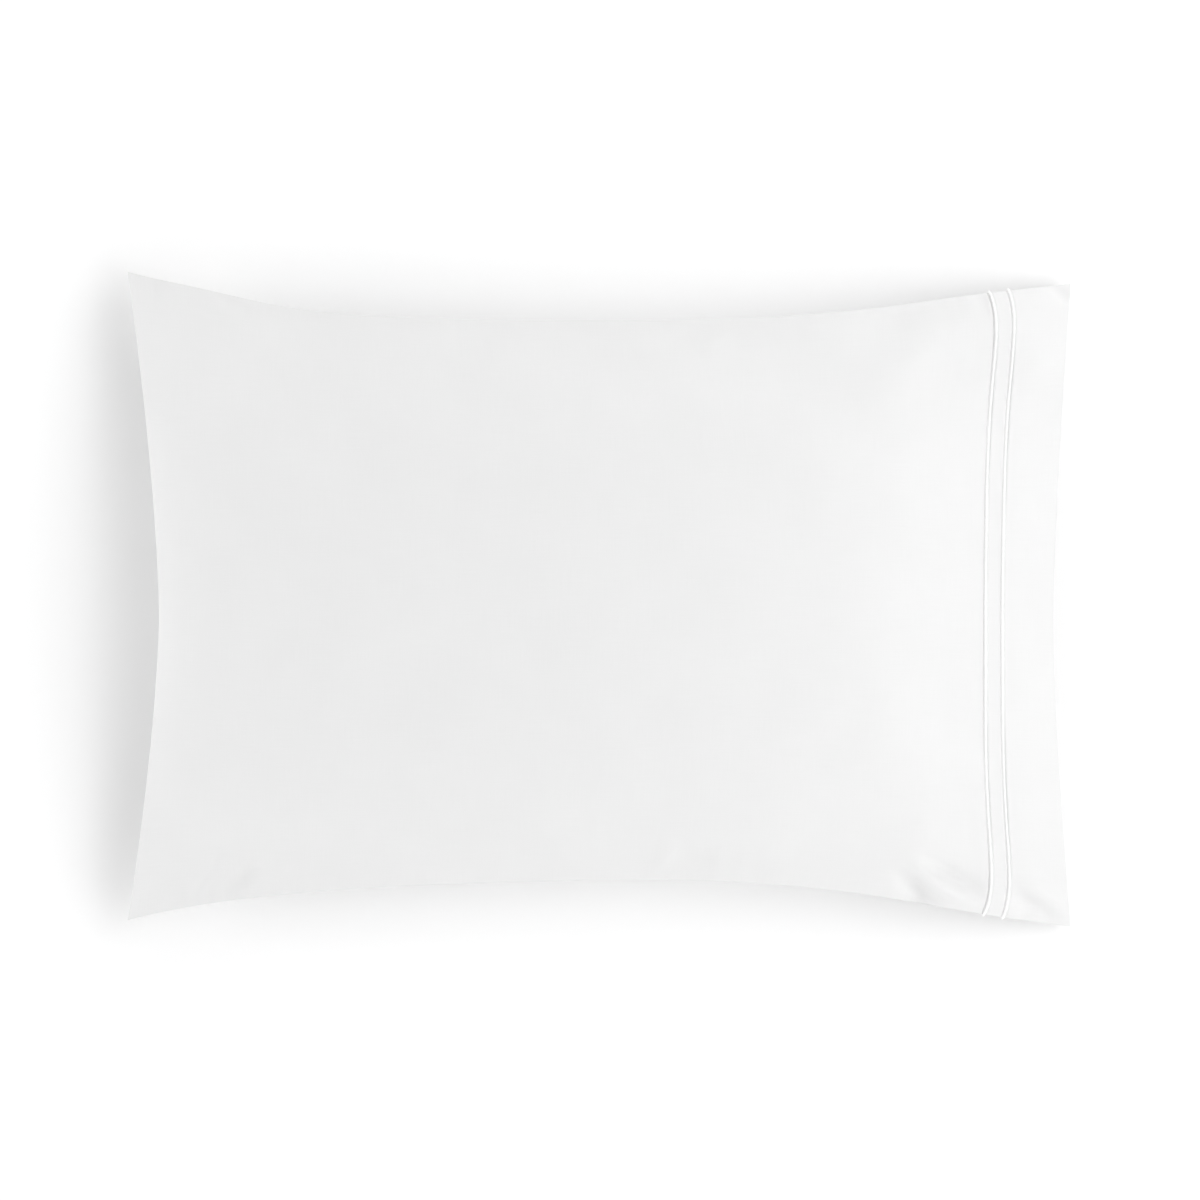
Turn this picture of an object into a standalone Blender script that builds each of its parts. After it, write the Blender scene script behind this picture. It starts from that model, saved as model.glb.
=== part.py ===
"""A filled cotton pillowcase lying flat, with an open end and a stitched hem.

The case lies on its underside: closed end at -X, open hemmed end at +X, the two
long side seams at -Y (front) and +Y (back). Lengths are metres, +Z is up, and the
origin is on the floor below the middle of the case.

The case is one closed skin, lofted along the cloth: from the seam at the closed end,
over the filled body to the edge of the hem, back inside along the lining of the
mouth, and over the rounded end of the filling. Two raised satin rows run round the
hem, just clear of the cloth.
"""

import bmesh
import bpy
import numpy as np

MM = 0.001

# The flat cloth.
CLOTH_LENGTH = 0.762
ROW_FROM_EDGE = {"stitch_row_outer": 0.0492, "stitch_row_inner": 0.0640}
HEM_PLY = 0.0015
SEAM_BULK = 0.0022
SEAM_BULK_REACH = CLOTH_LENGTH / 4

# The filled case, one row for each cross-section, in millimetres and degrees. `cloth` is
# measured along the cloth from the closed end. `pitch` is the upper panel's slope there
# on the centre line. The side seams lie at `back_x`, `back_y` and `front_x`, `front_y`,
# at the height `seam_z`. On the centre line the panels part at `mid_z`, and the lower
# one would sag to `under_z` if no floor stopped it. `lead` is how far the cloth beside
# the seams runs ahead of them.
SECTION_COLUMNS = ("cloth", "pitch", "back_x", "back_y", "front_x", "front_y",
                   "seam_z", "mid_z", "under_z", "lead")
SECTIONS = (
    (0.0, 60.0, -366.6, 254.6, -366.6, -248.4, 34.0, 72.0, 72.0, 0.0),
    (60.0, 38.0, -308.5, 242.2, -308.5, -237.0, 46.0, 70.0, 31.0, 0.0),
    (130.0, 18.0, -241.0, 227.6, -241.0, -228.6, 56.0, 67.5, -2.0, 0.0),
    (220.0, 6.0, -155.0, 219.8, -155.0, -222.4, 63.0, 66.0, -25.0, 0.0),
    (330.0, 0.5, -50.5, 217.2, -51.0, -218.6, 67.0, 66.0, -36.0, 0.0),
    (440.0, -5.5, 54.5, 217.4, 53.0, -217.4, 66.0, 65.0, -34.0, 0.0),
    (540.0, -16.0, 150.0, 221.2, 147.5, -222.2, 61.5, 60.5, -21.0, 1.0),
    (620.0, -31.0, 226.5, 228.8, 223.0, -231.6, 53.5, 53.5, -8.0, 3.0),
    (675.0, -40.0, 279.5, 236.4, 275.5, -241.0, 45.5, 46.0, 6.0, 5.0),
    (705.0, -25.0, 309.0, 240.4, 304.5, -246.0, 40.5, 41.0, 13.5, 5.5),
    (732.0, -34.0, 336.5, 243.4, 333.0, -250.4, 35.5, 35.5, 19.0, 3.5),
    (762.0, -36.0, 366.2, 246.1, 366.2, -254.2, 30.0, 29.5, 23.5, 0.0),
)
CLOSED_END = (-0.341, 0.072)
TAKE_UP = 0.9935
CENTRE_STEPS = 3000

# The waist of both ends: how the cloth's edge bows in between the corners.
BOW_POWER = 1.55
BOW_CENTRE = -0.06
LEAD_POWER = 5.0

# Past the filling's end the hem's corners hang lower.
DROOP_START = 0.640
CORNER_DROOP = 0.018
DROOP_POWER = 1.5
DROOP_WIDTH_POWER = 4.0

# The roundness of a cross-section, and the soft edge of the flat patch it rests on.
SHOULDER_POWER = 2.8
SEAM_POWER = 60.0
FLOOR_EASE = 0.010

# The creases and soft swells of the upper panel, one row for each, in millimetres:
# from one end to the other, positive height for a ridge and negative for a trough.
FOLD_COLUMNS = ("start_x", "start_y", "end_x", "end_y", "height", "half_width")
FOLDS = (
    (229.0, -202.0, 268.0, -257.0, -12.0, 10.0),
    (226.0, -201.0, 300.0, -242.0, 10.0, 9.0),
    (243.0, -199.0, 299.0, -232.0, -8.5, 8.5),
    (316.0, -229.0, 364.0, -254.0, -6.0, 7.0),
    (322.0, -217.0, 364.0, -240.0, 4.5, 8.0),
    (344.0, 252.0, 371.0, 225.0, -4.5, 5.0),
    (316.0, 166.0, 366.0, 199.0, 2.5, 10.0),
    (352.0, 50.0, 357.0, 180.0, 2.5, 14.0),
    (296.0, 238.0, 194.0, 144.0, 6.5, 20.0),
    (292.0, 240.0, 186.0, 216.0, -6.0, 14.0),
    (104.0, 214.0, 76.0, 188.0, 3.5, 7.0),
    (56.0, 205.0, 28.0, 186.0, 2.0, 7.0),
    (163.0, 227.0, 166.0, 202.0, 2.2, 8.0),
    (30.0, -222.0, 62.0, -184.0, 4.0, 6.5),
    (76.0, -218.0, 100.0, -188.0, 2.2, 7.0),
    (-318.0, -232.0, -284.0, -190.0, 4.0, 8.0),
    (-294.0, -234.0, -256.0, -196.0, -4.5, 8.0),
    (-278.0, -234.0, -234.0, -196.0, 2.6, 9.0),
    (-322.0, 249.0, -290.0, 220.0, 3.0, 7.0),
    (-304.0, 245.0, -266.0, 220.0, -3.2, 8.0),
    (116.0, -104.0, 148.0, -160.0, 1.6, 22.0),
    (150.0, -112.0, 214.0, -64.0, -1.4, 22.0),
)
FOLD_TAPER = 1.5
FOLD_SEAM_POWER = 36.0

# Small puckers that the side seams gather into both panels.
PUCKER_HEIGHT = 0.0006
PUCKER_REACH = 0.030
PUCKER_WAVES = ((0.047, 0.6, 1.0), (0.029, 2.1, 0.6), (0.083, 4.0, 0.8))

# The mouth: how far the lining runs back, and the filling's rounded end.
LINING_DEPTH = 0.072
LINING_RINGS = 6
LINING_WIDTH = 0.97
FILLING_NOSE = 0.014
NOSE_POWER = 4
NOSE_SHARES = (0.82, 0.45, 0.0)

# The satin rows.
ROW_WIDTH = 0.0028
ROW_HEIGHT = 0.0010
ROW_GAP = 0.0004
ROW_SIDES = 7

# Each fabric's colour and roughness.
COTTON = ((0.84, 0.84, 0.84), 0.85)
THREAD = ((0.90, 0.90, 0.90), 0.55)

# The mesh: rings across the cloth by zone (start, end, count), and panel columns.
RING_ZONES = ((0.0, 0.050, 6), (0.050, 0.200, 10), (0.200, 0.540, 14), (0.540, 0.690, 17))
ROW_BAND_MARGIN = 0.0004
ROW_BAND = ROW_WIDTH / 2 + ROW_BAND_MARGIN
HEM_RINGS = 6
PANEL_COLUMNS = 32
COLUMN_CROWDING = 0.7
NORMAL_STEP = 0.0005
WELD_DISTANCE = 0.000001


def section(column, cloth):
    """A column of SECTIONS at a distance along the cloth, as a natural cubic spline."""
    table = np.array(SECTIONS)
    stations = table[:, 0] * MM
    values = table[:, SECTION_COLUMNS.index(column)]
    steps, rises = np.diff(stations), np.diff(values) / np.diff(stations)
    system = np.diag(np.concatenate([[1.0], 2 * (steps[:-1] + steps[1:]), [1.0]]))
    system[range(1, len(steps)), range(0, len(steps) - 1)] = steps[:-1]
    system[range(1, len(steps)), range(2, len(steps) + 1)] = steps[1:]
    bend = np.linalg.solve(system, np.concatenate([[0.0], 6 * np.diff(rises), [0.0]]))
    before = np.clip(np.searchsorted(stations, cloth) - 1, 0, len(steps) - 1)
    step = steps[before]
    end = (cloth - stations[before]) / step
    start = 1 - end
    straight = start * values[before] + end * values[before + 1]
    curved = (start ** 3 - start) * bend[before] + (end ** 3 - end) * bend[before + 1]
    return (straight + curved * step ** 2 / 6) * (1 if column == "pitch" else MM)


def centre_line():
    """The upper panel's centre line: the cloth laid down at the sections' pitch."""
    cloth = np.linspace(0, CLOTH_LENGTH + NORMAL_STEP, CENTRE_STEPS)
    pitch = np.radians(section("pitch", (cloth[1:] + cloth[:-1]) / 2))
    step = cloth[1] - cloth[0]
    x = CLOSED_END[0] + TAKE_UP * step * np.concatenate([[0], np.cumsum(np.cos(pitch))])
    z = CLOSED_END[1] + step * np.concatenate([[0], np.cumsum(np.sin(pitch))])
    return cloth, x, z


def bow(across):
    """0 at the waist of an end, 1 at its corners."""
    corner = np.where(across > BOW_CENTRE, 1 - BOW_CENTRE, 1 + BOW_CENTRE)
    return (np.abs(across - BOW_CENTRE) / corner) ** BOW_POWER


def plan(cloth, across):
    """The x and y of the cloth, seen from above."""
    seam_x = np.where(across > 0, section("back_x", cloth), section("front_x", cloth))
    centre_cloth, centre_x, _ = CENTRE_LINE
    mid_x = np.interp(cloth, centre_cloth, centre_x)
    beside_seam = np.abs(across) ** LEAD_POWER
    lead = 4 * section("lead", cloth) * beside_seam * (1 - beside_seam)
    x = mid_x + (seam_x - mid_x) * bow(across) + lead
    back, front = section("back_y", cloth), section("front_y", cloth)
    y = (back + front) / 2 + across * (back - front) / 2
    return x, y


def fold_relief(x, y, across):
    """The height that creases and swells add to the upper panel."""
    relief = np.zeros_like(x)
    for row in np.array(FOLDS) * MM:
        fold = dict(zip(FOLD_COLUMNS, row))
        from_x, from_y = x - fold["start_x"], y - fold["start_y"]
        run_x, run_y = fold["end_x"] - fold["start_x"], fold["end_y"] - fold["start_y"]
        length = np.hypot(run_x, run_y)
        ahead = (from_x * run_x + from_y * run_y) / length
        aside = (from_x * run_y - from_y * run_x) / length
        middle = 2 * ahead / length - 1
        taper = np.clip(1 - middle * middle, 0, 1) ** FOLD_TAPER
        relief += fold["height"] * taper * np.exp(-((aside / fold["half_width"]) ** 2))
    return relief * (1 - np.abs(across) ** FOLD_SEAM_POWER)


def pucker_relief(cloth, across, y):
    """Small waves beside the side seams, dying out into the panel and at both ends."""
    half_width = (section("back_y", cloth) - section("front_y", cloth)) / 2
    from_seam = (1 - np.abs(across)) * half_width / PUCKER_REACH
    from_end = np.minimum(cloth, CLOTH_LENGTH - cloth) / PUCKER_REACH
    wave = np.zeros_like(cloth)
    for length, phase, share in PUCKER_WAVES:
        wave += share * np.sin(2 * np.pi * cloth / length + phase * np.sign(y))
    return PUCKER_HEIGHT * wave * from_seam * np.exp(1 - from_seam) * np.clip(from_end, 0, 1)


def parting_height(cloth, across):
    """Where the two panels would part: the side seams' height, blended to the middle's."""
    seam_z, mid_z = section("seam_z", cloth), section("mid_z", cloth)
    hanging = np.clip((cloth - DROOP_START) / (CLOTH_LENGTH - DROOP_START), 0, 1) ** DROOP_POWER
    droop = CORNER_DROOP * hanging * np.abs(across) ** DROOP_WIDTH_POWER
    return seam_z + (mid_z - seam_z) * (1 - across * across) - droop


def rest_on_floor(z):
    """Stop the underside at the floor, with a soft edge to the flat patch."""
    easing = (z + FLOOR_EASE) ** 2 / (4 * FLOOR_EASE)
    return np.where(z > FLOOR_EASE, z, np.where(z < -FLOOR_EASE, 0.0, easing))


def cloth_point(cloth, across, upper):
    """A point of the outer cloth, on the upper panel where `upper` is true."""
    cloth, across = np.broadcast_arrays(np.asarray(cloth, float), np.asarray(across, float))
    x, y = plan(cloth, across)
    mid_z, parting = section("mid_z", cloth), parting_height(cloth, across)
    shoulder = 1 - np.abs(across) ** SHOULDER_POWER
    from_end = np.clip(1 - cloth / SEAM_BULK_REACH, 0, 1)
    bulk = SEAM_BULK * (1 - np.abs(across) ** SEAM_POWER) * (1 - from_end ** SEAM_POWER)
    pucker = pucker_relief(cloth, across, y)
    centre_cloth, _, centre_z = CENTRE_LINE
    crown = np.interp(cloth, centre_cloth, centre_z) - mid_z
    over = parting + crown * shoulder + bulk + fold_relief(x, y, across) + pucker
    under = parting + (section("under_z", cloth) - mid_z) * shoulder - bulk - pucker
    return np.stack([x, y, np.where(upper, over, rest_on_floor(under))], axis=-1)


def cloth_normal(cloth, across, upper):
    """The outward normal of the outer cloth."""
    inset = np.clip(across, -1 + NORMAL_STEP, 1 - NORMAL_STEP)
    along = (cloth_point(cloth + NORMAL_STEP, inset, upper)
             - cloth_point(cloth - NORMAL_STEP, inset, upper))
    sideways = (cloth_point(cloth, inset + NORMAL_STEP, upper)
                - cloth_point(cloth, inset - NORMAL_STEP, upper))
    normal = np.cross(along, sideways)
    normal = np.where(upper, 1.0, -1.0)[..., None] * normal
    return normal / np.linalg.norm(normal, axis=-1, keepdims=True)


def around_columns():
    """The columns once round the case: back seam, over the top, front seam, under."""
    even = np.linspace(1, -1, PANEL_COLUMNS + 1)
    crowded = np.sin(even * np.pi / 2)
    over = COLUMN_CROWDING * crowded + (1 - COLUMN_CROWDING) * even
    across = np.concatenate([over, over[-2::-1]])
    upper = np.arange(len(across)) <= PANEL_COLUMNS
    return across, upper


def outer_rings():
    """The cloth distances of the rings, with a pair of rings under each satin row."""
    rings = [np.linspace(start, end, count, endpoint=False) for start, end, count in RING_ZONES]
    rings.append([RING_ZONES[-1][1]])
    for name in ("stitch_row_inner", "stitch_row_outer"):
        row = CLOTH_LENGTH - ROW_FROM_EDGE[name]
        rings.append([row - ROW_BAND, row + ROW_BAND])
    last_band = rings[-1][-1]
    rings.append(np.linspace(last_band, CLOTH_LENGTH, HEM_RINGS + 1)[1:])
    return np.concatenate(rings)


def lining_ring(cloth, across, upper):
    """A ring on the inner face of the hem, one ply inside the outer cloth."""
    inside = across * LINING_WIDTH
    outer = cloth_point(cloth, inside, upper)
    inner = outer - HEM_PLY * cloth_normal(cloth, inside, upper)
    at_seam = np.abs(across) > 1 - WELD_DISTANCE
    other = cloth_point(cloth, inside, ~upper)
    inner[at_seam] = (outer[at_seam] + other[at_seam]) / 2
    return inner


def nose_ring(share, across, upper):
    """A ring on the filling's rounded end, at a share of the lining's height."""
    wall = lining_ring(CLOTH_LENGTH - LINING_DEPTH, across, upper)
    facing = wall[::-1]
    middle = (wall + facing) / 2
    ring = middle + (wall - middle) * share
    ring[:, 0] += FILLING_NOSE * (1 - share * share) * (1 - across ** NOSE_POWER)
    return ring


def case_rings():
    """Every ring of the case's closed skin, from the closed end to the nose."""
    across, upper = around_columns()
    rings = [cloth_point(cloth, across, upper) for cloth in outer_rings()]
    lip, mouth_floor = CLOTH_LENGTH - NORMAL_STEP, CLOTH_LENGTH - LINING_DEPTH
    for cloth in np.linspace(lip, mouth_floor, LINING_RINGS + 1):
        rings.append(lining_ring(cloth, across, upper))
    for share in NOSE_SHARES:
        rings.append(nose_ring(share, across, upper))
    return np.array(rings)


def row_rings(name):
    """The profile of a satin row, carried round the hem just clear of the cloth."""
    across, upper = around_columns()
    row = CLOTH_LENGTH - ROW_FROM_EDGE[name]
    start = cloth_point(row - ROW_BAND, across, upper)
    end = cloth_point(row + ROW_BAND, across, upper)
    middle = (start + end) / 2
    along = (end - start) / np.linalg.norm(end - start, axis=1, keepdims=True)
    closed = middle[:-1]
    step = np.roll(closed, -1, axis=0) - closed
    face = np.cross(step, along[:-1])
    face /= np.linalg.norm(face, axis=1, keepdims=True)
    before = np.roll(face, 1, axis=0)
    outward = face + before
    outward /= (1 + np.sum(face * before, axis=1, keepdims=True))
    outward = np.vstack([outward, outward[:1]])
    angles = np.linspace(0, np.pi, ROW_SIDES)
    rings = []
    for angle in np.append(angles, angles[0]):
        offset = np.cos(angle) * ROW_WIDTH / 2
        lift = ROW_GAP + np.sin(angle) * ROW_HEIGHT
        rings.append(middle + along * offset + outward * lift)
    return np.array(rings)


def fabric(name, colour, roughness):
    """A plain woven-cotton material."""
    material = bpy.data.materials.new(name)
    material.use_nodes = True
    shader = material.node_tree.nodes["Principled BSDF"]
    shader.inputs["Base Color"].default_value = (*colour, 1.0)
    shader.inputs["Roughness"].default_value = roughness
    shader.inputs["Metallic"].default_value = 0.0
    return material


def skin(name, rings, material, collection):
    """Lay a grid over the rings and weld it where it meets itself."""
    row_count, column_count = rings.shape[0] - 1, rings.shape[1] - 1
    grid = bmesh.new()
    bmesh.ops.create_grid(grid, x_segments=column_count, y_segments=row_count, size=1.0)
    for vertex in grid.verts:
        column = round((vertex.co.x + 1) / 2 * column_count)
        row = round((vertex.co.y + 1) / 2 * row_count)
        vertex.co = rings[row, column]
    bmesh.ops.remove_doubles(grid, verts=grid.verts[:], dist=WELD_DISTANCE)
    bmesh.ops.recalc_face_normals(grid, faces=grid.faces[:])
    mesh = bpy.data.meshes.new(name)
    grid.to_mesh(mesh)
    grid.free()
    mesh.shade_smooth()
    mesh.materials.append(material)
    piece = bpy.data.objects.new(name, mesh)
    collection.objects.link(piece)
    return piece


def build():
    for leftover in list(bpy.data.objects):
        bpy.data.objects.remove(leftover)
    parts = bpy.data.collections.new("pillowcase")
    bpy.context.scene.collection.children.link(parts)
    cotton = fabric("white_cotton", *COTTON)
    thread = fabric("satin_thread", *THREAD)
    skin("case", case_rings(), cotton, parts)
    for name in ROW_FROM_EDGE:
        skin(name, row_rings(name), thread, parts)


CENTRE_LINE = centre_line()
build()
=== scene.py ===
import math
import bmesh
import bpy
import numpy as np
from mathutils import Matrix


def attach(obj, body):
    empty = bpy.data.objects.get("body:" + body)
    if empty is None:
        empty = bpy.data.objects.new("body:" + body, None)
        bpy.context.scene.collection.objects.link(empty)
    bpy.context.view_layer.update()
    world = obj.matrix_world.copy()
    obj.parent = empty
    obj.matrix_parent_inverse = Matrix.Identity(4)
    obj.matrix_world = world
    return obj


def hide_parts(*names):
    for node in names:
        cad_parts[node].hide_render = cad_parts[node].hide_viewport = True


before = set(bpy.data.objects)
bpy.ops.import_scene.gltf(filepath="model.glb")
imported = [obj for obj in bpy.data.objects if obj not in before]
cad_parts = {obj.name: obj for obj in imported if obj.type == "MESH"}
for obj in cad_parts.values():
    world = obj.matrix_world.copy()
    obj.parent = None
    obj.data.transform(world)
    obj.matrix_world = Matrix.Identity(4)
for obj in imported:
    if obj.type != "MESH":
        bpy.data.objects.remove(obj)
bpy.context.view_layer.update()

scene = bpy.context.scene
scene.view_settings.view_transform = "Standard"


# ---------------------------------------------------------------- the camera
# Straight above the case, as in the photograph, with the open end on the right. The
# lens is long and far away, so the raised crown hardly grows against the corners.
view_width = 0.930
outline_height = 0.050
camera_height = 9.0
camera_data = bpy.data.cameras.new("overhead_camera")
camera_data.sensor_width = 36.0
camera_data.lens = camera_data.sensor_width * (camera_height - outline_height) / view_width
camera_data.clip_end = 50.0
camera = bpy.data.objects.new("overhead_camera", camera_data)
camera.location = (0.0, 0.0, camera_height)
scene.collection.objects.link(camera)
scene.camera = camera


# ------------------------------------------------------- the floor and the light
# A seamless near-white sheet in a white room. The windows and the ceiling light stand on
# the hem's side, and low glows all round keep the drawn-in sides from going dark.
floor_half = 6.0
floor_mesh = bpy.data.meshes.new("studio_floor")
sheet = bmesh.new()
bmesh.ops.create_grid(sheet, x_segments=2, y_segments=2, size=floor_half)
sheet.to_mesh(floor_mesh)
sheet.free()
floor = bpy.data.objects.new("studio_floor", floor_mesh)
scene.collection.objects.link(floor)
floor_paint = bpy.data.materials.new("floor_white")
floor_paint.use_nodes = True
floor_shader = floor_paint.node_tree.nodes["Principled BSDF"]
floor_shader.inputs["Base Color"].default_value = (0.95, 0.95, 0.95, 1.0)
floor_shader.inputs["Roughness"].default_value = 1.0
floor_shader.inputs["Specular IOR Level"].default_value = 0.0
floor_mesh.materials.append(floor_paint)

room_glow = 0.424
world = bpy.data.worlds.new("white_room")
world.use_nodes = True
room = world.node_tree.nodes["Background"]
room.inputs["Color"].default_value = (1.0, 1.0, 1.0, 1.0)
room.inputs["Strength"].default_value = room_glow
scene.world = world

light_distance, light_size = 3.0, 1.6
# Each soft light: its bearing from the hem's side and its height, in degrees, and watts.
soft_lights = {
    "middle_window": (0, 35, 15.4),
    "back_window": (40, 45, 16.8),
    "front_window": (320, 45, 16.5),
    "ceiling_light": (0, 67, 13.2),
    "closed_end_glow": (180, 12, 46.9),
    "back_glow": (90, 20, 24.2),
    "front_glow": (270, 20, 24.8),
}
for name, (bearing, height, watts) in soft_lights.items():
    light_data = bpy.data.lights.new(name, "AREA")
    light_data.size = light_size
    light_data.energy = watts
    light = bpy.data.objects.new(name, light_data)
    turn, rise = math.radians(bearing), math.radians(height)
    level = light_distance * math.cos(rise)
    light.location = (level * math.cos(turn), level * math.sin(turn), light_distance * math.sin(rise))
    light.rotation_euler = light.location.to_track_quat("Z", "Y").to_euler()
    scene.collection.objects.link(light)


# ---------------------------------------------------------------------- the case
# One length of smooth white cotton, closed at one end and down both long sides with
# knife-edge seams, and turned in at the open end to a deep doubled hem. It is plump
# with the pillow inside it, which draws in its sides and rounds its crown.
MM = 0.001
cloth_length, cloth_width = 0.762, 0.508
hem_ply, seam_bulk = 0.0015, 0.0022

# One row for each cross-section, in millimetres and degrees: its distance along the
# cloth, the upper panel's slope on the centre line, the side seams, where the panels
# part, how low the underside would sag, and the lead of the cloth beside the seams.
section_columns = ("cloth", "pitch", "back_x", "back_y", "front_x", "front_y",
                   "seam_z", "mid_z", "under_z", "lead")
sections = np.array((
    (0.0, 60.0, -366.6, 254.6, -366.6, -248.4, 34.0, 72.0, 72.0, 0.0),
    (60.0, 38.0, -308.5, 242.2, -308.5, -237.0, 46.0, 70.0, 31.0, 0.0),
    (130.0, 18.0, -241.0, 227.6, -241.0, -228.6, 56.0, 67.5, -2.0, 0.0),
    (220.0, 6.0, -155.0, 219.8, -155.0, -222.4, 63.0, 66.0, -25.0, 0.0),
    (330.0, 0.5, -50.5, 217.2, -51.0, -218.6, 67.0, 66.0, -36.0, 0.0),
    (440.0, -5.5, 54.5, 217.4, 53.0, -217.4, 66.0, 65.0, -34.0, 0.0),
    (540.0, -16.0, 150.0, 221.2, 147.5, -222.2, 61.5, 60.5, -21.0, 1.0),
    (620.0, -31.0, 226.5, 228.8, 223.0, -231.6, 53.5, 53.5, -8.0, 3.0),
    (675.0, -40.0, 279.5, 236.4, 275.5, -241.0, 45.5, 46.0, 6.0, 5.0),
    (705.0, -25.0, 309.0, 240.4, 304.5, -246.0, 40.5, 41.0, 13.5, 5.5),
    (732.0, -34.0, 336.5, 243.4, 333.0, -250.4, 35.5, 35.5, 19.0, 3.5),
    (762.0, -36.0, 366.2, 246.1, 366.2, -254.2, 30.0, 29.5, 23.5, 0.0),
))

# Where the closed end's middle lies, and the share of its level length that the centre
# line keeps. The powers shape the cloth from its middle to its seams: how its ends bow
# in, where it leads, how full its shoulders are, and how near the seams it thins. The
# seams' bulk grows from the closed end over its reach, and the last value is the height
# over which the underside eases on to the floor.
closed_end_x, closed_end_z = -0.341, 0.072
take_up = 0.9935
bow_power, bow_centre, lead_power = 1.55, -0.06, 5.0
shoulder_power, seam_power = 2.8, 60.0
seam_bulk_reach = cloth_length / 4
floor_ease = 0.010

# Past the pillow's end the hem's corners hang lower.
droop_start, corner_droop = 0.640, 0.018
droop_power, droop_width_power = 1.5, 4.0


def spline(stations, values, at):
    """A natural cubic spline through values given at stations, read at other places."""
    steps = np.diff(stations)
    rises = (np.diff(values, axis=0).T / steps).T
    system = np.diag(np.concatenate([[1.0], 2 * (steps[:-1] + steps[1:]), [1.0]]))
    system[range(1, len(steps)), range(0, len(steps) - 1)] = steps[:-1]
    system[range(1, len(steps)), range(2, len(steps) + 1)] = steps[1:]
    turns = np.zeros_like(values)
    turns[1:-1] = 6 * np.diff(rises, axis=0)
    bend = np.linalg.solve(system, turns.reshape(len(stations), -1)).reshape(values.shape)
    before = np.clip(np.searchsorted(stations, at) - 1, 0, len(steps) - 1)
    wide = (...,) + (None,) * (values.ndim - 1)
    step = steps[before][wide]
    end = (at - stations[before])[wide] / step
    start = 1 - end
    straight = start * values[before] + end * values[before + 1]
    curved = (start ** 3 - start) * bend[before] + (end ** 3 - end) * bend[before + 1]
    return straight + curved * step ** 2 / 6


def section(column, cloth):
    """A column of the sections at a distance along the cloth."""
    unit = 1 if column == "pitch" else MM
    values = sections[:, section_columns.index(column)] * unit
    return spline(sections[:, 0] * MM, values, cloth)


# The upper panel's centre line: the cloth laid down in small steps at that slope.
centre_points = 3000
centre_cloth = np.linspace(0, cloth_length + MM, centre_points)
centre_pitch = np.radians(section("pitch", (centre_cloth[1:] + centre_cloth[:-1]) / 2))
centre_step = centre_cloth[1]
centre_x = closed_end_x + take_up * centre_step * np.cumsum(np.append(0, np.cos(centre_pitch)))
centre_z = closed_end_z + centre_step * np.cumsum(np.append(0, np.sin(centre_pitch)))


def plan(cloth, across):
    """The x and y of the cloth, seen from above; across runs from -1 to 1."""
    corner = np.where(across > bow_centre, 1 - bow_centre, 1 + bow_centre)
    bow = (np.abs(across - bow_centre) / corner) ** bow_power
    seam_x = np.where(across > 0, section("back_x", cloth), section("front_x", cloth))
    mid_x = np.interp(cloth, centre_cloth, centre_x)
    beside_seam = np.abs(across) ** lead_power
    lead = 4 * section("lead", cloth) * beside_seam * (1 - beside_seam)
    x = mid_x + (seam_x - mid_x) * bow + lead
    back, front = section("back_y", cloth), section("front_y", cloth)
    return x, (back + front) / 2 + across * (back - front) / 2


def plain_cloth(cloth, across, upper):
    """A point of the outer cloth before its creases: on the upper or the lower panel."""
    cloth, across = np.broadcast_arrays(np.asarray(cloth, float), np.asarray(across, float))
    x, y = plan(cloth, across)
    seam_z, mid_z = section("seam_z", cloth), section("mid_z", cloth)
    hanging = np.clip((cloth - droop_start) / (cloth_length - droop_start), 0, 1) ** droop_power
    droop = corner_droop * hanging * np.abs(across) ** droop_width_power
    parting = seam_z + (mid_z - seam_z) * (1 - across * across) - droop
    shoulder = 1 - np.abs(across) ** shoulder_power
    from_end = np.clip(1 - cloth / seam_bulk_reach, 0, 1)
    bulk = seam_bulk * (1 - np.abs(across) ** seam_power) * (1 - from_end ** seam_power)
    over = parting + (np.interp(cloth, centre_cloth, centre_z) - mid_z) * shoulder + bulk
    sag = parting + (section("under_z", cloth) - mid_z) * shoulder - bulk
    eased = (sag + floor_ease) ** 2 / (4 * floor_ease)
    under = np.where(sag > floor_ease, sag, np.where(sag < -floor_ease, 0.0, eased))
    return np.stack([x, y, np.where(upper, over, under)], axis=-1)


arc_points = 401


def flat_width(cloth, across, upper):
    """How far across the flat cloth each point of a ring lies, from its own arc."""
    fine = np.linspace(-1, 1, arc_points)
    arc = plain_cloth(cloth, fine, np.full(fine.shape, upper))
    walked = np.append(0, np.cumsum(np.linalg.norm(np.diff(arc, axis=0), axis=1)))
    return (np.interp(across, fine, walked / walked[-1]) - 0.5) * cloth_width


def panel_columns(count, crowding=0.45):
    """Places across a panel, from the back seam to the front one, closer at the seams."""
    even = np.linspace(1, -1, count + 1)
    return crowding * np.sin(even * np.pi / 2) + (1 - crowding) * even


# The upper panel settles over the pillow as real cloth does: its seams, its closed end
# and the inner stitched row are held, and the flat cut sheet gives every thread its
# length. Slight unevenness of the pillow sets off the soft swells and the drag.
inner_row_depth, outer_row_depth = 0.0640, 0.0492
stitched_rows = {"inner": cloth_length - inner_row_depth, "outer": cloth_length - outer_row_depth}
settle_rings, settle_columns, settle_frames = 96, 70, 40
swell_height, swell_spacing, swell_seed = 0.0005, 4, 7
pillow_push = 20.0
furthest_move = 0.008


def pillow_swells():
    """The pillow's unevenness: random heights a few points apart, and smooth between."""
    counts = settle_rings // swell_spacing + 1, settle_columns // swell_spacing + 1
    heights = np.random.default_rng(swell_seed).normal(size=counts)
    for count, points in zip(counts, (settle_rings, settle_columns)):
        heights = spline(np.linspace(0, 1, count), heights, np.linspace(0, 1, points + 1)).T
    return heights


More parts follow.
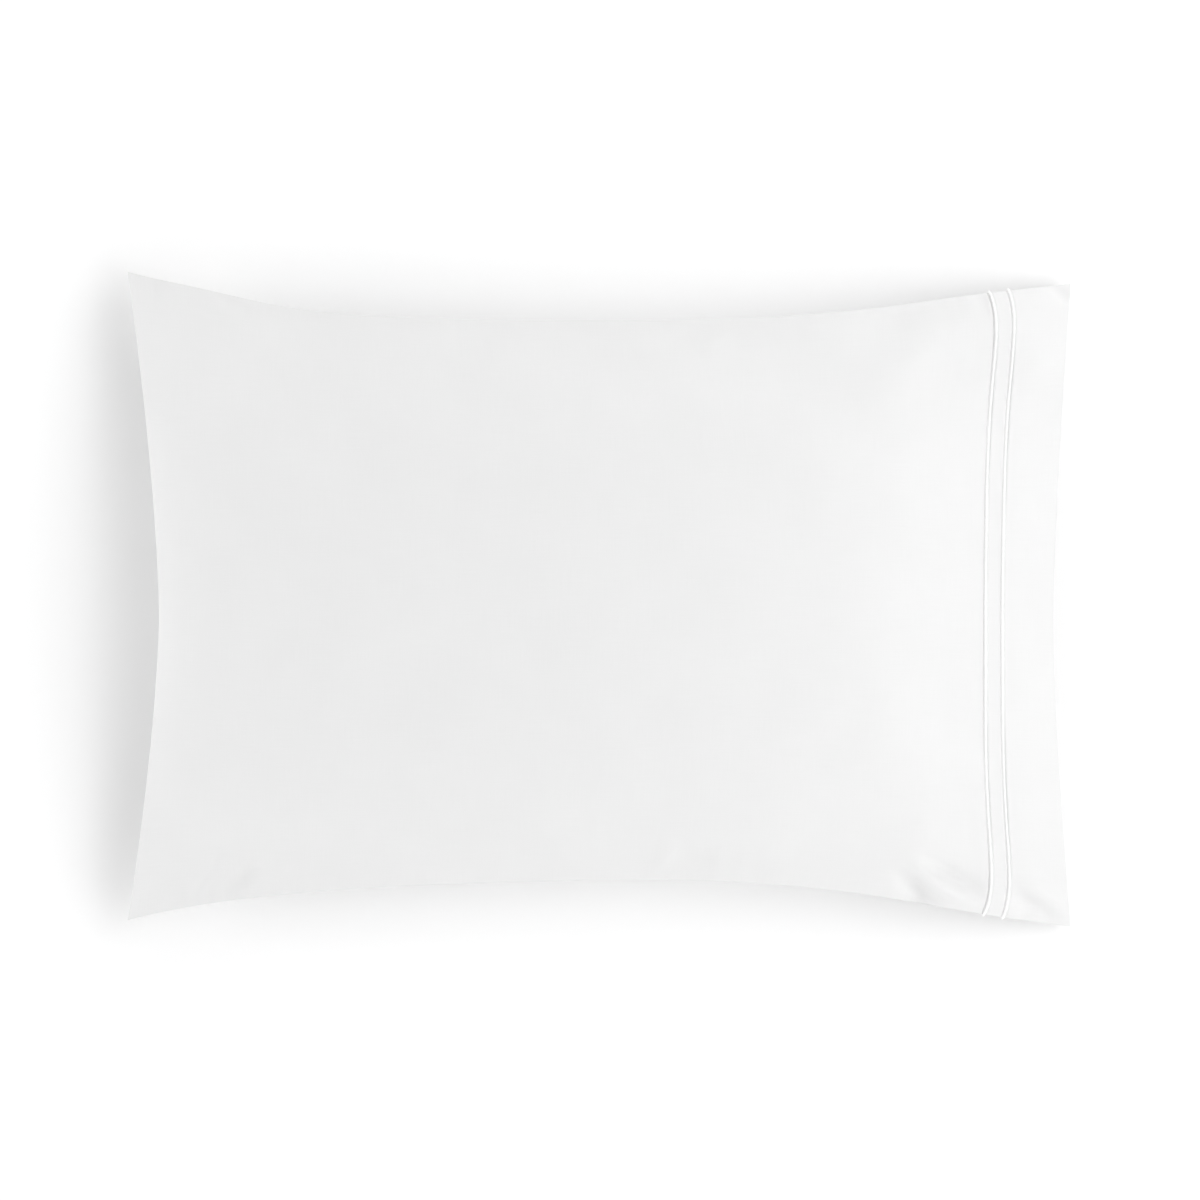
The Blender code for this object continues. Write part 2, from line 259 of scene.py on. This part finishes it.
def laid_panel(start, flat, held):
    """The upper panel as it lies, ready to settle, and each point's ring and column."""
    mesh = bpy.data.meshes.new("settling_panel")
    grid = bmesh.new()
    bmesh.ops.create_grid(grid, x_segments=settle_columns, y_segments=settle_rings, size=1.0)
    grid.to_mesh(mesh)
    grid.free()
    panel = bpy.data.objects.new("settling_panel", mesh)
    scene.collection.objects.link(panel)
    places = np.empty(len(mesh.vertices) * 3)
    mesh.vertices.foreach_get("co", places)
    places = (places.reshape(-1, 3) + 1) / 2
    column = np.rint(places[:, 0] * settle_columns).astype(int)
    ring = np.rint(places[:, 1] * settle_rings).astype(int)
    lifted = start.copy()
    lifted[..., 2] += swell_height * np.where(held, 0, pillow_swells())
    mesh.vertices.foreach_set("co", lifted[ring, column].ravel())
    panel.shape_key_add(name="lying")
    cut = panel.shape_key_add(name="flat_cut")
    cut.data.foreach_set("co", flat[ring, column].ravel())
    seams = panel.vertex_groups.new(name="held_seams")
    seams.add([int(i) for i in np.nonzero(held[ring, column])[0]], 1.0, "REPLACE")
    cloth_modifier = panel.modifiers.new("settle", "CLOTH")
    cotton_feel = cloth_modifier.settings
    cotton_feel.quality = 6
    cotton_feel.mass = 0.002
    cotton_feel.tension_stiffness = 40.0
    cotton_feel.compression_stiffness = 20.0
    cotton_feel.shear_stiffness = 12.0
    cotton_feel.bending_stiffness = 0.02
    cotton_feel.use_pressure = True
    cotton_feel.uniform_pressure_force = pillow_push
    cotton_feel.vertex_group_mass = seams.name
    cotton_feel.rest_shape_key = cut
    cotton_feel.effector_weights.gravity = 0.0
    cloth_modifier.collision_settings.use_collision = False
    return panel, ring, column


def settle():
    """How far each point of the upper panel moves, on a grid of rings and columns."""
    stations = np.linspace(0, stitched_rows["inner"], settle_rings + 1)
    columns = panel_columns(settle_columns)
    start = np.array([plain_cloth(cloth, columns, True) for cloth in stations])
    flat = np.zeros_like(start)
    for index, cloth in enumerate(stations):
        flat[index, :, 0] = cloth
        flat[index, :, 1] = flat_width(cloth, columns, True)
    held = np.zeros(start.shape[:2], bool)
    held[[0, -1]] = held[:, [0, -1]] = True
    panel, ring, column = laid_panel(start, flat, held)
    scene.frame_start, scene.frame_end = 1, settle_frames
    for frame_number in range(1, settle_frames + 1):
        scene.frame_set(frame_number)
    settled = bpy.data.meshes.new_from_object(
        panel.evaluated_get(bpy.context.evaluated_depsgraph_get()))
    ends = np.empty(len(settled.vertices) * 3)
    settled.vertices.foreach_get("co", ends)
    moved = np.zeros_like(start)
    moved[ring, column] = ends.reshape(-1, 3) - start[ring, column]
    scene.frame_set(1)
    bpy.data.objects.remove(panel)
    bpy.data.meshes.remove(settled)
    distance = np.linalg.norm(moved, axis=-1, keepdims=True)
    return stations, columns, moved * np.minimum(1, furthest_move / np.maximum(distance, MM))


settled_cloth, settled_across, settled_move = settle()


# The creases that show on the upper panel. Millimetres: from one end to the other, height (a trough is
# negative) and half width.
creases = np.array((
    (229.0, -202.0, 268.0, -257.0, -12.0, 10.0),
    (226.0, -201.0, 300.0, -242.0, 10.0, 9.0),
    (243.0, -199.0, 299.0, -232.0, -8.5, 8.5),
    (316.0, -229.0, 364.0, -254.0, -6.0, 7.0),
    (322.0, -217.0, 364.0, -240.0, 4.5, 8.0),
    (344.0, 252.0, 371.0, 225.0, -4.5, 5.0),
    (316.0, 166.0, 366.0, 199.0, 2.5, 10.0),
    (352.0, 50.0, 357.0, 180.0, 2.5, 14.0),
    (296.0, 238.0, 194.0, 144.0, 6.5, 20.0),
    (292.0, 240.0, 186.0, 216.0, -6.0, 14.0),
    (104.0, 214.0, 76.0, 188.0, 3.5, 7.0),
    (56.0, 205.0, 28.0, 186.0, 2.0, 7.0),
    (163.0, 227.0, 166.0, 202.0, 2.2, 8.0),
    (30.0, -222.0, 62.0, -184.0, 4.0, 6.5),
    (76.0, -218.0, 100.0, -188.0, 2.2, 7.0),
    (-318.0, -232.0, -284.0, -190.0, 4.0, 8.0),
    (-294.0, -234.0, -256.0, -196.0, -4.5, 8.0),
    (-278.0, -234.0, -234.0, -196.0, 2.6, 9.0),
    (-322.0, 249.0, -290.0, 220.0, 3.0, 7.0),
    (-304.0, 245.0, -266.0, 220.0, -3.2, 8.0),
    (116.0, -104.0, 148.0, -160.0, 1.6, 22.0),
    (150.0, -112.0, 214.0, -64.0, -1.4, 22.0),
)) * MM
crease_taper, crease_seam_power = 1.5, 36.0


def crease_relief(x, y, across):
    """The height that the creases add to the upper panel."""
    relief = np.zeros_like(x)
    for start_x, start_y, end_x, end_y, height, half_width in creases:
        run_x, run_y = end_x - start_x, end_y - start_y
        length = math.hypot(run_x, run_y)
        ahead = ((x - start_x) * run_x + (y - start_y) * run_y) / length
        aside = ((x - start_x) * run_y - (y - start_y) * run_x) / length
        middle = 2 * ahead / length - 1
        taper = np.clip(1 - middle * middle, 0, 1) ** crease_taper
        relief += height * taper * np.exp(-((aside / half_width) ** 2))
    return relief * (1 - np.abs(across) ** crease_seam_power)


def outer_cloth(cloth, across, upper):
    """A point of the outer cloth, creased and settled, but without its stitching."""
    point = plain_cloth(cloth, across, upper)
    point[..., 2] += np.where(upper, crease_relief(point[..., 0], point[..., 1], across), 0.0)
    if cloth < stitched_rows["inner"]:
        move = spline(settled_cloth, settled_move, np.array([cloth]))[0]
        move = spline(settled_across[::-1], move[::-1], across)
        point += np.where(upper, 1.0, 0.0)[:, None] * move
    return point


along_step, across_step = MM / 2, 0.0005


def cloth_normal(cloth, across, upper):
    """The outward normal of the outer cloth, from small steps along and across it."""
    inset = np.clip(across, across_step - 1, 1 - across_step)
    ahead, behind = [outer_cloth(cloth + step, inset, upper) for step in (along_step, -along_step)]
    back, front = [outer_cloth(cloth, inset + step, upper) for step in (across_step, -across_step)]
    along, sideways = ahead - behind, back - front
    normal = np.cross(along, sideways) * np.where(upper, 1.0, -1.0)[:, None]
    return normal / np.linalg.norm(normal, axis=-1, keepdims=True)


# The columns of the skin, once round it from the back seam, over the case to the front
# seam and back under it. They crowd beside the seams.
skin_columns = 124
mean_half_width = 0.221
column_from_seam = np.array((0.30, 0.65, 1.10, 1.75, 3.2, 4.8)) * MM / mean_half_width
columns_over = np.concatenate([
    panel_columns(skin_columns), 1 - column_from_seam, column_from_seam - 1])
columns_over = np.sort(columns_over)[::-1]
across = np.concatenate([columns_over, columns_over[-2::-1]])
upper = np.arange(len(across)) < len(columns_over)

# The satin thread pulls the cloth down on both sides of each row: at the seams and in
# the middle mostly before the row, and about half way out mostly after it. The padding
# under the row lifts the cloth between.
pull_depth = {
    "inner": {"before": (0.0021, 0.0011), "after": (0.0005, 0.0021)},
    "outer": {"before": (0.0011, 0.0006), "after": (0.0006, 0.0021)},
}
half_way_out, half_way_width = 0.58, 0.20
pull_place, pull_width = 0.00170, 0.00042
padding_height, padding_width = 0.00045, 0.00080
clear_of_seam_power = 200


def row_relief(cloth):
    """The pulls and the padding of the satin rows, for one ring of the skin."""
    half_way = np.exp(-(((np.abs(across) - half_way_out) / half_way_width) ** 2))
    relief = np.zeros_like(across)
    for row, place in stitched_rows.items():
        past = cloth - place
        usual, out_there = pull_depth[row]["before" if past < 0 else "after"]
        depth = usual + (out_there - usual) * half_way
        relief -= depth * math.exp(-(((abs(past) - pull_place) / pull_width) ** 2))
        relief += padding_height * math.exp(-((past / padding_width) ** 2))
    return relief * (1 - np.abs(across) ** clear_of_seam_power)


# Down each long side the two panels roll in to a fine groove at the sewn seam, and its
# stitches gather short puckers beside it, here and there more than elsewhere.
seam_dip, seam_dip_width = 0.0009, 0.0005
pucker_height, pucker_reach, pucker_fade = 0.00055, 0.006, 0.024
# Each wave's length along the seam, its phase and its share. The lulls have no share.
pucker_waves = ((0.0170, 0.6, 1.0), (0.0235, 2.1, 0.8), (0.0390, 4.0, 0.9), (0.0910, 1.3, 0.8))
pucker_lulls = ((0.137, 1.9), (0.211, 0.4))


def sewn_in(ring, cloth):
    """Roll a ring of the skin in at its side seams and gather its puckers."""
    half_width = (section("back_y", cloth) - section("front_y", cloth)) / 2
    from_seam = (1 - np.abs(across)) * half_width
    side = np.sign(across)
    wave = 0.0
    for length, phase, share in pucker_waves:
        turns = 2 * math.pi * cloth / length
        wave = wave + share * np.sin(turns + phase * side + upper * phase / 2)
    for length, phase in pucker_lulls:
        wave = wave * (1 + np.sin(2 * math.pi * cloth / length + phase * side)) / 2
    reach = from_seam / pucker_reach
    near_end = min(1.0, min(cloth, cloth_length - cloth) / pucker_fade)
    facing = np.where(upper, 1.0, -1.0)
    ring[:, 1] -= side * seam_dip * near_end * np.exp(-((from_seam / seam_dip_width) ** 2))
    ring[:, 2] += facing * pucker_height * near_end * wave * reach * np.exp(1 - reach)
    return ring


# The rings of the skin, from the closed end to the hem's edge, crowded at the closed
# end and round the stitched rows. They go on round the edge's soft fold, then back
# along the lining to the pillow's end. Each one's flat cloth becomes the UV map.
end_rings = np.array((0.0, 0.3, 0.8, 1.6, 2.6)) * MM
corner_from, body_from, body_to = 0.004, 0.060, 0.540
rows_from = stitched_rows["inner"] - 0.0060
hem_from = stitched_rows["outer"] + 0.0065
edge_at = cloth_length - 0.0006
corner_rings, body_rings, approach_rings, hem_rings = 15, 118, 42, 13
beside_row = np.array((-4.2, -3.0, -2.3, -1.9, -1.6, -1.3, -1.0, -0.6,
                       0.0, 0.6, 1.0, 1.3, 1.6, 1.9, 2.3, 3.0, 4.2)) * MM
least_relief = MM / 1000
weld_distance = MM / 1000
lining_depth, lining_rings, lining_width = 0.072, 12, 0.97
seam_limit = 0.9999
fold_shares = (0.10, 0.35, 0.65, 0.90)
pillow_nose, nose_power, nose_shares = 0.014, 4, (0.9, 0.75, 0.5, 0.25, 0.0)


def lining_ring(cloth, depth_share=1.0):
    """A ring inside the hem, at a share of its ply's thickness below the outer cloth."""
    inside = across * (1 - (1 - lining_width) * depth_share)
    outer = outer_cloth(cloth, inside, upper)
    inner = outer - hem_ply * depth_share * cloth_normal(cloth, inside, upper)
    at_seam = np.abs(across) > seam_limit
    inner[at_seam] = (outer[at_seam] + outer_cloth(cloth, inside, ~upper)[at_seam]) / 2
    return inner


def flat_ring(cloth, width):
    """The same ring on the flat cloth."""
    return np.stack([np.full(len(across), cloth), width], axis=-1)


ring_places = np.concatenate([
    end_rings,
    np.linspace(corner_from, body_from, corner_rings, endpoint=False),
    np.linspace(body_from, body_to, body_rings, endpoint=False),
    np.linspace(body_to, rows_from, approach_rings),
    stitched_rows["inner"] + beside_row,
    [sum(stitched_rows.values()) / 2],
    stitched_rows["outer"] + beside_row,
    np.linspace(hem_from, edge_at, hem_rings),
])
rings, flat_rings = [], []
for cloth in ring_places:
    ring = sewn_in(outer_cloth(cloth, across, upper), cloth)
    relief = row_relief(cloth)
    if np.abs(relief).max() > least_relief:
        ring = ring + relief[:, None] * cloth_normal(cloth, across, upper)
    rings.append(ring)
    width_over = flat_width(cloth, columns_over, True)
    width_under = -cloth_width - flat_width(cloth, columns_over, False)[-2::-1]
    flat_rings.append(flat_ring(cloth, np.concatenate([width_over, width_under])))
edge_width = flat_rings[-1][:, 1]
for share in fold_shares:
    rings.append(lining_ring(cloth_length, share))
    flat_rings.append(flat_ring(cloth_length + hem_ply * share, edge_width))
for cloth in np.linspace(edge_at, cloth_length - lining_depth, lining_rings + 1):
    rings.append(lining_ring(cloth))
    flat_rings.append(flat_ring(2 * cloth_length + hem_ply - cloth, edge_width))
wall = rings[-1]
middle = (wall + wall[::-1]) / 2
for share in nose_shares:
    nose = middle + (wall - middle) * share
    nose[:, 0] += pillow_nose * (1 - share * share) * (1 - across ** nose_power)
    rings.append(nose)
    flat_rings.append(flat_rings[-1] + (hem_ply, 0.0))


def skin(name):
    """Lay a grid over the rings, give it the flat cloth as its UV map, and weld it."""
    row_count, column_count = len(rings) - 1, len(across) - 1

    def row_and_column(vertex):
        column = round((vertex.co.x + 1) / 2 * column_count)
        return round((vertex.co.y + 1) / 2 * row_count), column

    grid = bmesh.new()
    bmesh.ops.create_grid(grid, x_segments=column_count, y_segments=row_count, size=1.0)
    uv_map = grid.loops.layers.uv.new("flat_cloth")
    for face in grid.faces:
        for loop in face.loops:
            row, column = row_and_column(loop.vert)
            loop[uv_map].uv = flat_rings[row][column]
    for vertex in grid.verts:
        row, column = row_and_column(vertex)
        vertex.co = rings[row][column]
    bmesh.ops.remove_doubles(grid, verts=grid.verts[:], dist=weld_distance)
    bmesh.ops.recalc_face_normals(grid, faces=grid.faces[:])
    mesh = bpy.data.meshes.new(name)
    grid.to_mesh(mesh)
    grid.free()
    mesh.shade_smooth()
    piece = bpy.data.objects.new(name, mesh)
    scene.collection.objects.link(piece)
    return piece


def new_node(tree, kind, **settings):
    """Add a node and set its properties."""
    node = tree.nodes.new(kind)
    for key, value in settings.items():
        setattr(node, key, value)
    return node


def maths(tree, operation, *values):
    """A Math node on links or numbers, and its output."""
    node = new_node(tree, "ShaderNodeMath", operation=operation)
    for socket, value in zip(node.inputs, values):
        if isinstance(value, (int, float)):
            socket.default_value = value
        else:
            tree.links.new(value, socket)
    return node.outputs[0]


def noise(tree, vector, scale, detail):
    """A Noise Texture on a vector, and its value."""
    node = new_node(tree, "ShaderNodeTexNoise")
    node.inputs["Scale"].default_value = scale
    node.inputs["Detail"].default_value = detail
    tree.links.new(vector, node.inputs["Vector"])
    return node.outputs["Fac"]


def spread(tree, value, least, most, value_from=0.0, value_to=1.0):
    """A Map Range node that spreads a value between two others, and its result."""
    node = new_node(tree, "ShaderNodeMapRange")
    node.inputs["From Min"].default_value = value_from
    node.inputs["From Max"].default_value = value_to
    node.inputs["To Min"].default_value = least
    node.inputs["To Max"].default_value = most
    tree.links.new(value, node.inputs["Value"])
    return node.outputs["Result"]


def bump(tree, height, strength, distance):
    """A Bump node on a height."""
    node = new_node(tree, "ShaderNodeBump")
    node.inputs["Strength"].default_value = strength
    node.inputs["Distance"].default_value = distance
    tree.links.new(height, node.inputs["Height"])
    return node


# Each thread's shade changes from one thread to the next, and slowly along it.
shade_across_threads, shade_along_threads = 0.8, 35.0


def percale_weave():
    """A node group: the height of a plain weave, and the uneven shade of its threads."""
    group = bpy.data.node_groups.new("percale_weave", "ShaderNodeTree")
    group.interface.new_socket("Flat Cloth", in_out="INPUT", socket_type="NodeSocketVector")
    group.interface.new_socket("Thread Spacing", in_out="INPUT", socket_type="NodeSocketFloat")
    group.interface.new_socket("Height", in_out="OUTPUT", socket_type="NodeSocketFloat")
    group.interface.new_socket("Thread Shade", in_out="OUTPUT", socket_type="NodeSocketFloat")
    given = new_node(group, "NodeGroupInput")
    made = new_node(group, "NodeGroupOutput")
    place = new_node(group, "ShaderNodeSeparateXYZ")
    group.links.new(given.outputs["Flat Cloth"], place.inputs[0])
    waves, shades = [], []
    for along, other in (("X", "Y"), ("Y", "X")):
        threads = maths(group, "DIVIDE", place.outputs[along], given.outputs["Thread Spacing"])
        waves.append(maths(group, "SINE", maths(group, "MULTIPLY", threads, math.pi)))
        streak = new_node(group, "ShaderNodeCombineXYZ")
        between = maths(group, "MULTIPLY", threads, shade_across_threads)
        length = maths(group, "MULTIPLY", place.outputs[other], shade_along_threads)
        group.links.new(between, streak.inputs["X"])
        group.links.new(length, streak.inputs["Y"])
        shades.append(noise(group, streak.outputs[0], scale=1.0, detail=1.0))
    crossing = maths(group, "MULTIPLY", *waves)
    group.links.new(maths(group, "MULTIPLY_ADD", crossing, 0.5, 0.5), made.inputs["Height"])
    shade = maths(group, "MULTIPLY", maths(group, "ADD", *shades), 0.5)
    group.links.new(shade, made.inputs["Thread Shade"])
    return group


# Pressed white cotton. Its fine weave and a faint cloudiness vary its shade, pressing
# leaves it very slightly waved, and the hem, doubled from the inner row on, is a little
# lighter because less light goes through it.
thread_spacing = 0.00036
darkest_cotton, lightest_cotton, doubled_gain = 0.736, 0.768, 0.015
thread_shade_share, cloud_share = 0.6, 0.4
cotton = bpy.data.materials.new("white_cotton")
cotton.use_nodes = True
tree = cotton.node_tree
shader = tree.nodes["Principled BSDF"]
shader.inputs["Roughness"].default_value = 0.82
shader.inputs["Specular IOR Level"].default_value = 0.22
shader.inputs["Sheen Weight"].default_value = 0.06
shader.inputs["Sheen Roughness"].default_value = 0.45
flat_cloth = new_node(tree, "ShaderNodeUVMap", uv_map="flat_cloth").outputs["UV"]
weave = new_node(tree, "ShaderNodeGroup", node_tree=percale_weave())
weave.inputs["Thread Spacing"].default_value = thread_spacing
tree.links.new(flat_cloth, weave.inputs["Flat Cloth"])

cloud = noise(tree, flat_cloth, scale=14.0, detail=2.0)
shade = maths(tree, "ADD", maths(tree, "MULTIPLY", weave.outputs["Thread Shade"], thread_shade_share),
              maths(tree, "MULTIPLY", cloud, cloud_share))
colour = spread(tree, shade, darkest_cotton, lightest_cotton, value_from=0.30, value_to=0.70)
cloth_place = new_node(tree, "ShaderNodeSeparateXYZ")
tree.links.new(flat_cloth, cloth_place.inputs[0])
doubled = maths(tree, "GREATER_THAN", cloth_place.outputs["X"], stitched_rows["inner"])
gain = maths(tree, "MULTIPLY_ADD", doubled, doubled_gain, 1.0)
tree.links.new(maths(tree, "MULTIPLY", colour, gain), shader.inputs["Base Color"])

pressing = noise(tree, flat_cloth, scale=55.0, detail=2.5)
waved = bump(tree, pressing, strength=0.35, distance=0.00025)
woven = bump(tree, weave.outputs["Height"], strength=0.5, distance=0.00006)
tree.links.new(waved.outputs["Normal"], woven.inputs["Normal"])
tree.links.new(woven.outputs["Normal"], shader.inputs["Normal"])

cotton_case = skin("cotton_case")
cotton_case.data.materials.append(cotton)
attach(cotton_case, "root")
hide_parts("case")


# --------------------------------------------------------------- the satin rows
# Two parallel rows of padded satin stitch hold the hem down. Each is a close run of
# glossy cotton threads laid across the row, arched over a cord of padding, and it goes
# all the way round the hem, over the side seams.
row_width, row_height = 0.0023, 0.00105
stitch_spacing, thread_radius = 0.00040, 0.00025
foot_depth = 0.0009
stitch_unevenness, first_seed = 0.05, 3
stitch_sides, stitch_steps = 6, 5
path_columns = 120


def satin_stitch_tree(thread_material):
    """Geometry nodes that lay arched threads side by side along a row's path."""
    group = bpy.data.node_groups.new("satin_stitches", "GeometryNodeTree")
    group.interface.new_socket("Path", in_out="INPUT", socket_type="NodeSocketGeometry")
    for name in ("Stitch Spacing", "Half Width", "Foot Depth", "Crest", "Thread Radius", "Unevenness"):
        group.interface.new_socket(name, in_out="INPUT", socket_type="NodeSocketFloat")
    group.interface.new_socket("Seed", in_out="INPUT", socket_type="NodeSocketInt")
    group.interface.new_socket("Stitches", in_out="OUTPUT", socket_type="NodeSocketGeometry")
    given = new_node(group, "NodeGroupInput")
    made = new_node(group, "NodeGroupOutput")

    def link(source, node, socket):
        group.links.new(source, node.inputs[socket])

    def point(x, z):
        node = new_node(group, "ShaderNodeCombineXYZ")
        if x is not None:
            link(x, node, "X")
        link(z, node, "Z")
        return node.outputs[0]

    sunk = maths(group, "MULTIPLY", given.outputs["Foot Depth"], -1.0)
    far_side = maths(group, "MULTIPLY", given.outputs["Half Width"], -1.0)
    arch = new_node(group, "GeometryNodeCurveQuadraticBezier")
    arch.inputs["Resolution"].default_value = stitch_steps
    link(point(far_side, sunk), arch, "Start")
    link(point(None, given.outputs["Crest"]), arch, "Middle")
    link(point(given.outputs["Half Width"], sunk), arch, "End")
    strand = new_node(group, "GeometryNodeCurvePrimitiveCircle")
    strand.inputs["Resolution"].default_value = stitch_sides
    link(given.outputs["Thread Radius"], strand, "Radius")
    stitch = new_node(group, "GeometryNodeCurveToMesh")
    stitch.inputs["Fill Caps"].default_value = True
    link(arch.outputs[0], stitch, "Curve")
    link(strand.outputs[0], stitch, "Profile Curve")

    path = new_node(group, "GeometryNodeMeshToCurve")
    link(given.outputs["Path"], path, "Mesh")
    spaced = new_node(group, "GeometryNodeResampleCurve", mode="LENGTH")
    link(path.outputs[0], spaced, "Curve")
    link(given.outputs["Stitch Spacing"], spaced, "Length")
    outward = new_node(group, "GeometryNodeInputNamedAttribute", data_type="FLOAT_VECTOR")
    outward.inputs["Name"].default_value = "outward"
    tangent = new_node(group, "GeometryNodeInputTangent")
    facing = new_node(group, "FunctionNodeAxesToRotation", primary_axis="Z", secondary_axis="Y")
    link(outward.outputs["Attribute"], facing, "Primary Axis")
    link(tangent.outputs[0], facing, "Secondary Axis")
    # Random Value's sockets for plain numbers go by their place, as their names repeat.
    least_input, most_input, number_output = 2, 3, 1
    size = new_node(group, "FunctionNodeRandomValue", data_type="FLOAT")
    link(maths(group, "SUBTRACT", 1.0, given.outputs["Unevenness"]), size, least_input)
    link(maths(group, "ADD", given.outputs["Unevenness"], 1.0), size, most_input)
    link(given.outputs["Seed"], size, "Seed")
    scale = new_node(group, "ShaderNodeCombineXYZ")
    link(size.outputs[number_output], scale, "X")
    scale.inputs["Y"].default_value = 1.0
    link(size.outputs[number_output], scale, "Z")
    laid = new_node(group, "GeometryNodeInstanceOnPoints")
    link(spaced.outputs[0], laid, "Points")
    link(stitch.outputs[0], laid, "Instance")
    link(facing.outputs[0], laid, "Rotation")
    link(scale.outputs[0], laid, "Scale")
    smooth = new_node(group, "GeometryNodeSetShadeSmooth")
    link(laid.outputs[0], smooth, "Geometry")
    real = new_node(group, "GeometryNodeRealizeInstances")
    link(smooth.outputs[0], real, "Geometry")
    covered = new_node(group, "GeometryNodeSetMaterial")
    covered.inputs["Material"].default_value = thread_material
    link(real.outputs[0], covered, "Geometry")
    link(covered.outputs[0], made, "Stitches")
    return group


def row_path(name, place):
    """The closed line that a row follows round the hem, with its outward direction."""
    over_hem = panel_columns(path_columns)
    round_hem = np.concatenate([over_hem, over_hem[-2:0:-1]])
    on_top = np.arange(len(round_hem)) < len(over_hem)
    points = outer_cloth(place, round_hem, on_top)
    ahead, behind = [outer_cloth(place + step, round_hem, on_top) for step in (MM, -MM)]
    along = ahead - behind
    step = np.roll(points, -1, axis=0) - np.roll(points, 1, axis=0)
    outward = np.cross(step, along)
    outward /= np.linalg.norm(outward, axis=1, keepdims=True)
    middle = (points.max(axis=0) + points.min(axis=0)) / 2
    if np.sum(outward * (points - middle)) < 0:
        outward = -outward
    mesh = bpy.data.meshes.new(name)
    count = len(points)
    mesh.from_pydata(points.tolist(), [(i, (i + 1) % count) for i in range(count)], [])
    direction = mesh.attributes.new("outward", "FLOAT_VECTOR", "POINT")
    direction.data.foreach_set("vector", outward.ravel())
    path = bpy.data.objects.new(name, mesh)
    scene.collection.objects.link(path)
    return path


def satin_row(name, place, stitches, seed):
    """A row of real stitches along its path, as a plain mesh."""
    path = row_path(name + "_path", place)
    sewing = path.modifiers.new("satin_stitches", "NODES")
    sewing.node_group = stitches
    settings = {
        "Stitch Spacing": stitch_spacing,
        "Half Width": row_width / 2 - thread_radius / 2,
        "Foot Depth": foot_depth,
        "Crest": 2 * (row_height - thread_radius) + foot_depth,
        "Thread Radius": thread_radius,
        "Unevenness": stitch_unevenness,
        "Seed": seed,
    }
    for item in stitches.interface.items_tree:
        if item.in_out == "INPUT" and item.name in settings:
            sewing[item.identifier] = settings[item.name]
    mesh = bpy.data.meshes.new_from_object(
        path.evaluated_get(bpy.context.evaluated_depsgraph_get()))
    mesh.name = name
    bpy.data.objects.remove(path)
    row = bpy.data.objects.new(name, mesh)
    scene.collection.objects.link(row)
    return row


# Bleached, glossy cotton thread. Its fine twisted fibres vary its lustre and its shade.
darkest_thread, lightest_thread = 0.94, 0.98
glossiest_thread, dullest_thread = 0.40, 0.50
thread = bpy.data.materials.new("satin_thread")
thread.use_nodes = True
tree = thread.node_tree
shader = tree.nodes["Principled BSDF"]
shader.inputs["Specular IOR Level"].default_value = 0.5
shader.inputs["Sheen Weight"].default_value = 0.10
coordinates = new_node(tree, "ShaderNodeTexCoord")
fibres = noise(tree, coordinates.outputs["Object"], scale=2600.0, detail=2.0)
lustre = spread(tree, fibres, glossiest_thread, dullest_thread)
tree.links.new(lustre, shader.inputs["Roughness"])
bleached = spread(tree, fibres, darkest_thread, lightest_thread)
tree.links.new(bleached, shader.inputs["Base Color"])
twisted = bump(tree, fibres, strength=0.4, distance=0.00003)
tree.links.new(twisted.outputs["Normal"], shader.inputs["Normal"])

satin_stitches = satin_stitch_tree(thread)
for seed, (row, place) in enumerate(stitched_rows.items(), start=first_seed):
    stitched = satin_row(f"satin_row_{row}", place, satin_stitches, seed)
    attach(stitched, "root")
    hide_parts(f"stitch_row_{row}")
